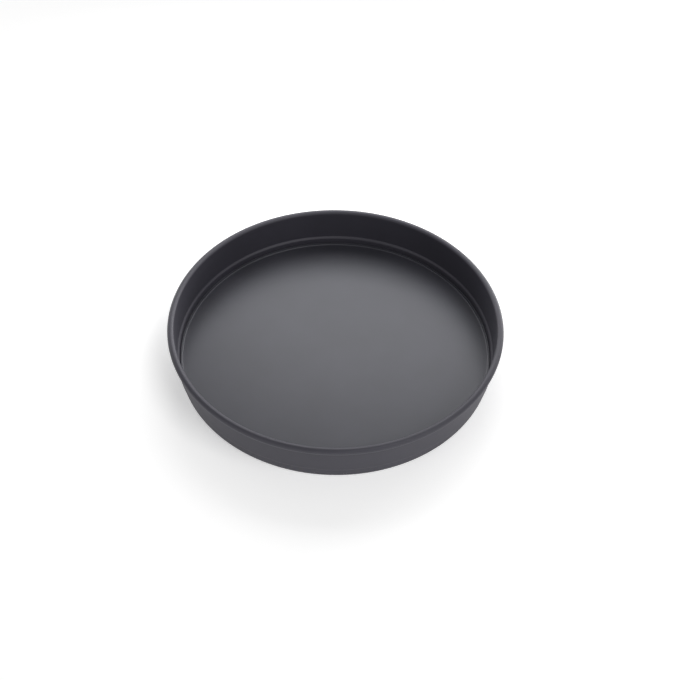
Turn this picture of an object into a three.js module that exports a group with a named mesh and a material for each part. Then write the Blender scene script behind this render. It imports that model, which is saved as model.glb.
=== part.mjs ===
// A round cake pan with a loose base, in millimetres, +Z up.
// A spun side wall ends below in a ledge turned inwards and above in a rim rolled around a steel wire.
// The base plate lies on the ledge and lifts out upwards.
// The origin is the middle of the foot, on the surface that the pan stands on.
import * as THREE from "three";

// Side wall
const MOUTH_DIAMETER = 254; // inside the straight wall
const HEIGHT = 37; // from the foot to the top of the rim
const WALL_SHEET = 0.9; // thickness of the wall's sheet
const STEP_INSET = 1.45; // how far the foot stands in from the wall above it
const STEP_LEVEL = 8.7; // height of the middle of the step
const STEP_BEND = 0.6; // inside radius of the step's two bends
const STEP_SLOPE = THREE.MathUtils.degToRad(40); // how far the step leans out from the upright wall
const FOOT_BEND = 1; // inside radius of the corner between foot and ledge
const LEDGE_WIDTH = 7; // how far the ledge reaches in from the foot

// Rolled rim
const WIRE_DIAMETER = 3;
const WIRE_PLAY = 0.2; // between the wire and the sheet rolled around it
const CURL_GAP = 0.5; // between the cut edge of the rolled sheet and the wall

// Loose base
const BASE_SHEET = 0.9; // thickness of the base's sheet
const BASE_PLAY = 0.4; // between the base's edge and the foot around it
const SEAT_GAP = 0.1; // between the base and the ledge under it
const BASE_BEND = 0.9; // inside radius of the base's turned-up edge
const LIP_RISE = 1.1; // straight part of that edge, above its bend

// Facets
const ROUND_STEPS = 72; // around the pan
const ARC_STEP = THREE.MathUtils.degToRad(30); // along a bend

// Places in the section, as a radius from the pan's axis and a height
const wallInside = MOUTH_DIAMETER / 2;
const wallMiddle = wallInside + WALL_SHEET / 2;
const footInside = wallInside - STEP_INSET;
const footMiddle = footInside + WALL_SHEET / 2;
const ledgeEdge = footInside - LEDGE_WIDTH;

const RIGHT = 0;
const DOWN = -Math.PI / 2;
const LEFT = Math.PI;

const anodisedWall = new THREE.MeshStandardMaterial({
  name: "anodised_aluminium_wall",
  color: 0x5c5c62,
  roughness: 0.42,
  metalness: 0.35,
});
const anodisedBase = new THREE.MeshStandardMaterial({
  name: "anodised_aluminium_base",
  color: 0x66676b,
  roughness: 0.45,
  metalness: 0.35,
});
const steel = new THREE.MeshStandardMaterial({
  name: "steel_wire",
  color: 0x9a9c9e,
  roughness: 0.4,
  metalness: 1,
});

// Points along an arc about (x, z), both ends included.
function arc(x, z, radius, from, to) {
  const steps = Math.max(1, Math.round(Math.abs(to - from) / ARC_STEP));
  return Array.from({ length: steps + 1 }, (_, i) => {
    const angle = from + ((to - from) * i) / steps;
    return new THREE.Vector2(x + radius * Math.cos(angle), z + radius * Math.sin(angle));
  });
}

// A section turned around the pan's axis.
function turned(name, section, material) {
  const geometry = new THREE.LatheGeometry(section, ROUND_STEPS).rotateX(Math.PI / 2);
  const mesh = new THREE.Mesh(geometry, material);
  mesh.name = name;
  return mesh;
}

// The rim's curl: its bend at mid-thickness and the middle of the wire that it holds.
const curlBend = WIRE_DIAMETER / 2 + WIRE_PLAY + WALL_SHEET / 2;
const curlCentre = new THREE.Vector2(
  wallMiddle + curlBend,
  HEIGHT - curlBend - WALL_SHEET / 2,
);
// It rolls over, down and back under, until its cut edge nears the wall.
const curlPastBottom = Math.asin(
  (curlBend - WALL_SHEET / 2 - CURL_GAP) / (curlBend + WALL_SHEET / 2),
);
const curlEnd = DOWN - curlPastBottom;

// The step: two equal bends, with a straight run between them where the inset needs one.
const stepBend = STEP_BEND + WALL_SHEET / 2;
const stepAngle = Math.min(STEP_SLOPE, Math.acos(1 - STEP_INSET / (2 * stepBend)));
const stepRun = (STEP_INSET - 2 * stepBend * (1 - Math.cos(stepAngle))) / Math.sin(stepAngle);
const stepRise = 2 * stepBend * Math.sin(stepAngle) + stepRun * Math.cos(stepAngle);

// One face of the wall's sheet, from the ledge's edge to the curl's cut edge.
// The side is +1 for the face outside and below, -1 for the face inside and above.
function wallFace(side) {
  const offset = (side * WALL_SHEET) / 2;
  const footBend = FOOT_BEND + WALL_SHEET / 2;
  return [
    new THREE.Vector2(ledgeEdge, WALL_SHEET / 2 - offset),
    ...arc(footMiddle - footBend, WALL_SHEET / 2 + footBend, footBend + offset, DOWN, RIGHT),
    ...arc(
      footMiddle + stepBend,
      STEP_LEVEL - stepRise / 2,
      stepBend - offset,
      LEFT,
      LEFT - stepAngle,
    ),
    ...arc(wallMiddle - stepBend, STEP_LEVEL + stepRise / 2, stepBend + offset, -stepAngle, RIGHT),
    ...arc(curlCentre.x, curlCentre.y, curlBend - offset, LEFT, RIGHT),
    ...arc(curlCentre.x, curlCentre.y, curlBend - offset, RIGHT, curlEnd).slice(1),
  ];
}

function sideWall() {
  const outside = wallFace(1);
  const inside = wallFace(-1);
  return turned("side_wall", [...outside, ...inside.reverse(), outside[0]], anodisedWall);
}

function rimWire() {
  const section = arc(curlCentre.x, curlCentre.y, WIRE_DIAMETER / 2, 0, 2 * Math.PI);
  return turned("rim_wire", section, steel);
}

// The base's edge turns up, and its bend clears the foot's corner.
function looseBase() {
  const underside = WALL_SHEET + SEAT_GAP;
  const floor = underside + BASE_SHEET;
  const edge = footInside - BASE_PLAY;
  const bendRadius = edge - BASE_SHEET - BASE_BEND;
  const bendHeight = floor + BASE_BEND;
  const lipTop = bendHeight + LIP_RISE;
  return turned(
    "loose_base",
    [
      new THREE.Vector2(0, underside),
      ...arc(bendRadius, bendHeight, BASE_BEND + BASE_SHEET, DOWN, RIGHT),
      new THREE.Vector2(edge, lipTop),
      new THREE.Vector2(edge - BASE_SHEET, lipTop),
      ...arc(bendRadius, bendHeight, BASE_BEND, RIGHT, DOWN),
      new THREE.Vector2(0, floor),
    ],
    anodisedBase,
  );
}

const pan = new THREE.Group();
pan.name = "round_cake_pan";
pan.add(sideWall(), rimWire(), looseBase());

export default pan;
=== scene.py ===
import math

import bpy
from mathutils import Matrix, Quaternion, Vector


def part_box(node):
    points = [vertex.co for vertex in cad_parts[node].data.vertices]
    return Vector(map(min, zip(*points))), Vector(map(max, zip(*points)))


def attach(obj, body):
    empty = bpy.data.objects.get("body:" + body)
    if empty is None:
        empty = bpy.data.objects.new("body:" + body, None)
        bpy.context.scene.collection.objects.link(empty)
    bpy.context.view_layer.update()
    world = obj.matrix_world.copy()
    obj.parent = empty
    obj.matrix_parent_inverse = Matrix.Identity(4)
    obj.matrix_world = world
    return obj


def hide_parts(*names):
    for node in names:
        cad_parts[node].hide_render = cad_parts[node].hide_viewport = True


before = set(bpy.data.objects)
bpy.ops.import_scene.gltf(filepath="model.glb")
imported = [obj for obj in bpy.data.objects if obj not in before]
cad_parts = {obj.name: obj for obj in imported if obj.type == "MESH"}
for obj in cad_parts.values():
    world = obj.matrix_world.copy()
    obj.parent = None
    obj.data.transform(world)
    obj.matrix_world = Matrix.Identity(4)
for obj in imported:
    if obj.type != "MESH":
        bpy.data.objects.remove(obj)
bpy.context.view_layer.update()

# Side wall
# One seamless ring spun from aluminium sheet and hard anodised dark grey. It has a ledge turned in at
# the foot, a small step outwards, a straight wall and a rim rolled outwards around the wire.
mm = 0.001
wall_low, wall_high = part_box("side_wall")
wire_low, wire_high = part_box("rim_wire")
wire_radius = (wire_high.z - wire_low.z) / 2
wire_height = (wire_high.z + wire_low.z) / 2
wire_ring = wire_high.x - wire_radius
bead_radius = wall_high.z - wire_height
wall_inside = wire_ring - bead_radius
wall_sheet = 0.9 * mm
cut_edge = 0.12 * mm
step_inset = 1.45 * mm
step_level = 8.7 * mm
step_bend = 0.6 * mm + wall_sheet / 2
step_slope = math.radians(40)
foot_inside = wall_inside - step_inset
foot_bend = 1 * mm + wall_sheet / 2
ledge_width = 7 * mm
ledge_edge = foot_inside - ledge_width
curl_gap = 0.5 * mm
RIGHT, UP, LEFT, DOWN = (math.radians(turn) for turn in (0, 90, 180, -90))


def arc(x, z, radius, start, end, step=math.radians(6)):
    """Points of a section along an arc, both ends included."""
    steps = math.ceil(abs(end - start) / step)
    angles = [start + (end - start) * i / steps for i in range(steps + 1)]
    return [(x + radius * math.cos(a), z + radius * math.sin(a)) for a in angles]


def broken_corner(x, z, start, end):
    """The slightly rounded corner of a cut sheet edge."""
    return arc(x, z, cut_edge, start, end, step=math.radians(22.5))


def wall_face(side):
    """One face of the sheet from ledge to curl: side is +1 outside and below, -1 inside and above."""
    offset = side * wall_sheet / 2
    foot_middle = foot_inside + wall_sheet / 2
    wall_middle = wall_inside + wall_sheet / 2
    step_run = (step_inset - 2 * step_bend * (1 - math.cos(step_slope))) / math.sin(step_slope)
    step_rise = 2 * step_bend * math.sin(step_slope) + step_run * math.cos(step_slope)
    curl_bend = bead_radius - wall_sheet / 2
    curl_end = DOWN - math.asin((bead_radius - wall_sheet - curl_gap) / bead_radius)
    curl_corner = curl_bend - offset + side * cut_edge
    last = curl_end + cut_edge / curl_corner
    last_turn = last + LEFT if side > 0 else last
    ledge_corner = wall_sheet / 2 - side * (wall_sheet / 2 - cut_edge)
    step_foot = step_level - step_rise / 2
    step_head = step_level + step_rise / 2
    return (
        broken_corner(ledge_edge + cut_edge, ledge_corner, LEFT, LEFT + side * UP)
        + arc(foot_middle - foot_bend, wall_sheet / 2 + foot_bend, foot_bend + offset, DOWN, RIGHT)
        + arc(foot_middle + step_bend, step_foot, step_bend - offset, LEFT, LEFT - step_slope)
        + arc(wall_middle - step_bend, step_head, step_bend + offset, -step_slope, RIGHT)
        + arc(wire_ring, wire_height, curl_bend - offset, LEFT, RIGHT)
        + arc(wire_ring, wire_height, curl_bend - offset, RIGHT, last)[1:-1]
        + broken_corner(
            wire_ring + curl_corner * math.cos(last),
            wire_height + curl_corner * math.sin(last),
            last_turn,
            last_turn + side * UP,
        )
    )


def with_even_runs(section, closed):
    """The section with its straight runs cut into short pieces, so that shading stays flat along them."""
    longest = 2 * mm
    ends = section[1:] + section[:1] if closed else section[1:]
    points = []
    for (x0, z0), (x1, z1) in zip(section, ends):
        pieces = max(1, math.ceil(math.dist((x0, z0), (x1, z1)) / longest))
        points += [(x0 + (x1 - x0) * i / pieces, z0 + (z1 - z0) * i / pieces) for i in range(pieces)]
    return points if closed else points + section[-1:]


def node(tree, kind, inputs=None, **settings):
    """Adds a node with its settings, and sets or links its inputs by name."""
    made = tree.nodes.new(kind)
    for name, value in settings.items():
        setattr(made, name, value)
    for name, value in (inputs or {}).items():
        if isinstance(value, bpy.types.NodeSocket):
            tree.links.new(value, made.inputs[name])
        else:
            made.inputs[name].default_value = value
    return made


# The lathe: a section drawn in the XZ plane is laid on a circle and swept all the way round it.
# The sweep leaves the faces pointing into the sheet, so they are turned round.
turn_steps = 256
touching = 0.001 * mm
lathe = bpy.data.node_groups.new("turned section", "GeometryNodeTree")
lathe.interface.new_socket("Geometry", in_out="OUTPUT", socket_type="NodeSocketGeometry")
lathe.interface.new_socket("Section", in_out="INPUT", socket_type="NodeSocketGeometry")
lathe_inputs = {
    name: lathe.interface.new_socket(name, in_out="INPUT", socket_type=kind).identifier
    for name, kind in (
        ("Radius", "NodeSocketFloat"),
        ("Steps", "NodeSocketInt"),
        ("Finish", "NodeSocketMaterial"),
    )
}
given = node(lathe, "NodeGroupInput").outputs
back_to_axis = node(lathe, "ShaderNodeMath", {0: given["Radius"], 1: -1}, operation="MULTIPLY").outputs[0]
on_circle = node(lathe, "ShaderNodeCombineXYZ", {"X": back_to_axis}).outputs[0]
drawn = node(lathe, "GeometryNodeMeshToCurve", {"Mesh": given["Section"]}).outputs["Curve"]
laid = node(
    lathe,
    "GeometryNodeTransform",
    {"Geometry": drawn, "Translation": on_circle, "Rotation": (math.radians(90), 0, 0)},
).outputs["Geometry"]
circle = node(
    lathe,
    "GeometryNodeCurvePrimitiveCircle",
    {"Resolution": given["Steps"], "Radius": given["Radius"]},
).outputs["Curve"]
swept = node(lathe, "GeometryNodeCurveToMesh", {"Curve": circle, "Profile Curve": laid}).outputs["Mesh"]
joined = node(lathe, "GeometryNodeMergeByDistance", {"Geometry": swept, "Distance": touching}).outputs[0]
outwards = node(lathe, "GeometryNodeFlipFaces", {"Mesh": joined}).outputs["Mesh"]
smooth = node(lathe, "GeometryNodeSetShadeSmooth", {"Geometry": outwards}).outputs["Geometry"]
whole = node(lathe, "GeometryNodeRealizeInstances", {"Geometry": smooth}).outputs["Geometry"]
finished = node(lathe, "GeometryNodeSetMaterial", {"Geometry": whole, "Material": given["Finish"]})
node(lathe, "NodeGroupOutput", {"Geometry": finished.outputs["Geometry"]})


def turned(name, section, closed, finish):
    """A piece made by turning a section, as a plain mesh."""
    points = with_even_runs(section, closed)
    edges = [(i, i + 1) for i in range(len(points) - 1)]
    if closed:
        edges.append((len(points) - 1, 0))
    drawing = bpy.data.meshes.new(name + "_section")
    drawing.from_pydata([(x, 0, z) for x, z in points], edges, [])
    piece = bpy.data.objects.new(name, drawing)
    bpy.context.scene.collection.objects.link(piece)
    turning = piece.modifiers.new("turning", "NODES")
    turning.node_group = lathe
    turning[lathe_inputs["Radius"]] = wall_inside
    turning[lathe_inputs["Steps"]] = turn_steps
    turning[lathe_inputs["Finish"]] = finish
    shape = bpy.data.meshes.new_from_object(piece.evaluated_get(bpy.context.evaluated_depsgraph_get()))
    piece.modifiers.remove(turning)
    piece.data = shape
    shape.name = name
    return piece


def linear(hex_colour):
    """A linear colour with alpha from an sRGB hex value."""
    parts = [int(hex_colour[i : i + 2], 16) / 255 for i in (1, 3, 5)]
    return tuple(p / 12.92 if p <= 0.04045 else ((p + 0.055) / 1.055) ** 2.4 for p in parts) + (1,)


def round_the_axis(tree):
    """A point's place, its distance from the pan's axis and its height, as sockets."""
    place = node(tree, "ShaderNodeTexCoord").outputs["Object"]
    split = node(tree, "ShaderNodeSeparateXYZ", {0: place}).outputs
    across = node(tree, "ShaderNodeCombineXYZ", {"X": split["X"], "Y": split["Y"]}).outputs[0]
    radius = node(tree, "ShaderNodeVectorMath", {0: across}, operation="LENGTH").outputs["Value"]
    return place, radius, split["Z"]


def anodised_aluminium(name, dark, light, gleam, roughness, line_share):
    """Hard anodised aluminium: a dry, satin, slightly cool grey film over the marks of the forming tool.

    The film is a dyed oxide, so it reflects as a glassy layer of IOR 1.62 and not as bare metal.
    The spun wall is drier than the base, because the roller leaves it rougher than the rolled sheet.
    The tool marks are about 0.3 mm apart and the etched grain 0.1 mm: both are drawn coarser, to show.
    """
    line_spacing = 1.3 * mm
    grain_size = 0.8 * mm
    cloud_size = 45 * mm
    relief = 0.02 * mm
    unevenness = 0.03
    noise_low = 0.3
    noise_high = 0.7
    film_ior = 1.62
    finish = bpy.data.materials.new(name)
    finish.use_nodes = True
    tree = finish.node_tree
    shader = tree.nodes["Principled BSDF"]
    place, radius, height = round_the_axis(tree)
    along = node(tree, "ShaderNodeMath", {0: radius, 1: height}, operation="ADD").outputs[0]
    lines = node(
        tree,
        "ShaderNodeTexNoise",
        {"W": along, "Scale": 1 / line_spacing, "Detail": 2},
        noise_dimensions="1D",
    ).outputs["Fac"]
    clouds = node(
        tree, "ShaderNodeTexNoise", {"Vector": place, "Scale": 1 / cloud_size, "Detail": 3}
    ).outputs["Fac"]
    grain = node(
        tree, "ShaderNodeTexNoise", {"Vector": place, "Scale": 1 / grain_size, "Detail": 2}
    ).outputs["Fac"]
    shade = node(tree, "ShaderNodeMix", {"Factor": line_share, "A": clouds, "B": lines}).outputs["Result"]
    contrast = node(
        tree, "ShaderNodeMapRange", {"Value": shade, "From Min": noise_low, "From Max": noise_high}
    )
    tone = node(
        tree,
        "ShaderNodeMix",
        {"Factor": contrast.outputs[0], "A": linear(dark), "B": linear(light)},
        data_type="RGBA",
    )
    surface = node(tree, "ShaderNodeMix", {"Factor": line_share, "A": grain, "B": lines}).outputs["Result"]
    dryness = node(
        tree,
        "ShaderNodeMapRange",
        {
            "Value": surface,
            "From Min": noise_low,
            "From Max": noise_high,
            "To Min": roughness - unevenness,
            "To Max": roughness + unevenness,
        },
    )
    bumps = node(tree, "ShaderNodeBump", {"Height": surface, "Strength": 0.5, "Distance": relief})
    tree.links.new(tone.outputs["Result"], shader.inputs["Base Color"])
    tree.links.new(dryness.outputs[0], shader.inputs["Roughness"])
    tree.links.new(bumps.outputs["Normal"], shader.inputs["Normal"])
    shader.inputs["IOR"].default_value = film_ior
    shader.inputs["Specular Tint"].default_value = linear(gleam)
    return finish


outside, inside = wall_face(+1), wall_face(-1)
side_wall = turned(
    "side_wall_spun",
    outside + inside[::-1],
    True,
    anodised_aluminium("anodised aluminium, spun wall", "#302F37", "#36353E", "#FAF8FF", 0.57, 0.45),
)
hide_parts("side_wall")
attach(side_wall, "wall")


# Rim wire
# A hard steel wire bent to a ring and butted. The rim is rolled around it, which stiffens the mouth
# and holds the wire fast inside the bead.
def drawn_steel(name):
    """Drawn steel wire: dull grey metal with fine streaks that the die leaves along it."""
    streak_width = 0.25 * mm
    finish = bpy.data.materials.new(name)
    finish.use_nodes = True
    tree = finish.node_tree
    shader = tree.nodes["Principled BSDF"]
    _, radius, height = round_the_axis(tree)
    section = node(tree, "ShaderNodeCombineXYZ", {"X": radius, "Y": height}).outputs[0]
    streaks = node(
        tree,
        "ShaderNodeTexNoise",
        {"Vector": section, "Scale": 1 / streak_width, "Detail": 3},
        noise_dimensions="2D",
    ).outputs["Fac"]
    tone = node(
        tree,
        "ShaderNodeMix",
        {"Factor": streaks, "A": linear("#A9A8A5"), "B": linear("#C2C1BE")},
        data_type="RGBA",
    )
    polish = node(tree, "ShaderNodeMapRange", {"Value": streaks, "To Min": 0.3, "To Max": 0.5})
    tree.links.new(tone.outputs["Result"], shader.inputs["Base Color"])
    tree.links.new(polish.outputs[0], shader.inputs["Roughness"])
    shader.inputs["Metallic"].default_value = 1
    return finish


rim_wire = turned(
    "rim_wire_ring",
    arc(wire_ring, wire_height, wire_radius, RIGHT, 2 * LEFT)[:-1],
    True,
    drawn_steel("drawn steel wire"),
)
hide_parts("rim_wire")
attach(rim_wire, "wall")

# Loose base
# A flat disc pressed from the same aluminium sheet, with a low turned-up edge, anodised with the wall.
# It lies loose on the ledge inside the foot and is pushed up and out from below.
base_low, base_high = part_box("loose_base")
base_sheet = 0.9 * mm
base_bend = 0.9 * mm
base_floor = base_low.z + base_sheet
lip_inside = base_high.x - base_sheet
bend_radius = lip_inside - base_bend
bend_height = base_floor + base_bend
corner_height = base_high.z - cut_edge
base_section = (
    [(0, base_low.z)]
    + arc(bend_radius, bend_height, base_bend + base_sheet, DOWN, RIGHT)
    + broken_corner(base_high.x - cut_edge, corner_height, RIGHT, UP)
    + broken_corner(lip_inside + cut_edge, corner_height, UP, LEFT)
    + arc(bend_radius, bend_height, base_bend, RIGHT, DOWN)
    + [(0, base_floor)]
)
loose_base = turned(
    "loose_base_plate",
    base_section,
    False,
    anodised_aluminium("anodised aluminium, pressed base", "#2F2F35", "#35353C", "#F7F8FF", 0.45, 0.1),
)
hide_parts("loose_base")
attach(loose_base, "base")

# Floor and light
# The pan stands on a sheet of white acrylic that is lit from below. A strip softbox close behind lays
# the broad gleam on the pan's floor, and low strips and two fills stand around it further off.
floor_reach = 40
floor_mesh = bpy.data.meshes.new("floor")
floor_corners = [(x * floor_reach, y * floor_reach, 0) for x, y in ((-1, -1), (1, -1), (1, 1), (-1, 1))]
floor_mesh.from_pydata(floor_corners, [], [(0, 1, 2, 3)])
floor = bpy.data.objects.new("floor", floor_mesh)
bpy.context.scene.collection.objects.link(floor)
acrylic = bpy.data.materials.new("white acrylic, lit from below")
acrylic.use_nodes = True
acrylic_shader = acrylic.node_tree.nodes["Principled BSDF"]
acrylic_shader.inputs["Base Color"].default_value = linear("#F4F4F4")
acrylic_shader.inputs["Roughness"].default_value = 0.9
acrylic_shader.inputs["Emission Color"].default_value = linear("#FFFFFF")
acrylic_shader.inputs["Emission Strength"].default_value = 0.37
floor_mesh.materials.append(acrylic)

world = bpy.data.worlds.new("studio")
world.use_nodes = True
world.node_tree.nodes["Background"].inputs["Color"].default_value = linear("#FFFFFF")
world.node_tree.nodes["Background"].inputs["Strength"].default_value = 0.25
bpy.context.scene.world = world

# A softbox is placed by its distance and direction from the pan, turned from straight behind to the right.
for name, distance, turn, elevation, width, height, power in (
    ("strip softbox, behind", 0.45, 6, 44, 0.5, 0.25, 1.51),
    ("low strip, behind right", 1.6, 40, 9, 0.8, 0.45, 13),
    ("low strip, behind left", 1.6, -40, 9, 0.8, 0.45, 5.6),
    ("low strip, front right", 1.6, 125, 9, 0.8, 0.45, 2.1),
    ("low strip, front", 1.6, 180, 9, 0.8, 0.45, 1.5),
    ("fill, right", 1.6, 135, 50, 0.8, 0.45, 7.5),
    ("fill, left", 1.6, -125, 28, 0.8, 0.45, 2.3),
):
    light = bpy.data.lights.new(name, "AREA")
    light.shape = "RECTANGLE"
    light.size, light.size_y = width, height
    light.energy = power
    softbox = bpy.data.objects.new(name, light)
    turn, elevation = math.radians(turn), math.radians(elevation)
    along_floor = Vector((math.sin(turn), math.cos(turn), 0)) * math.cos(elevation)
    softbox.location = distance * (along_floor + Vector((0, 0, math.sin(elevation))))
    softbox.rotation_mode = "QUATERNION"
    softbox.rotation_quaternion = (-softbox.location).to_track_quat("-Z", "Y")
    softbox.visible_camera = False
    bpy.context.scene.collection.objects.link(softbox)

# Camera
# It looks down into the pan as the photograph does, through a 50 mm lens held slightly off level.
view = bpy.data.cameras.new("photo view")
view.sensor_width = 36
view.lens = 50
camera = bpy.data.objects.new("photo view", view)
bpy.context.scene.collection.objects.link(camera)
bpy.context.scene.camera = camera
view_distance = 745.5 * mm
view_elevation = math.radians(45.76)
view_roll = math.radians(1.03)
view_aim = Vector((3.67, 0, 9.07)) * mm
rim_centre = Vector((0, 0, wall_high.z))
towards_camera = Vector((0, -math.cos(view_elevation), math.sin(view_elevation)))
camera.location = rim_centre + view_distance * towards_camera
camera.rotation_mode = "QUATERNION"
look = (view_aim - camera.location).to_track_quat("-Z", "Y")
camera.rotation_quaternion = look @ Quaternion((0, 0, 1), view_roll)
bpy.context.scene.view_settings.view_transform = "Standard"
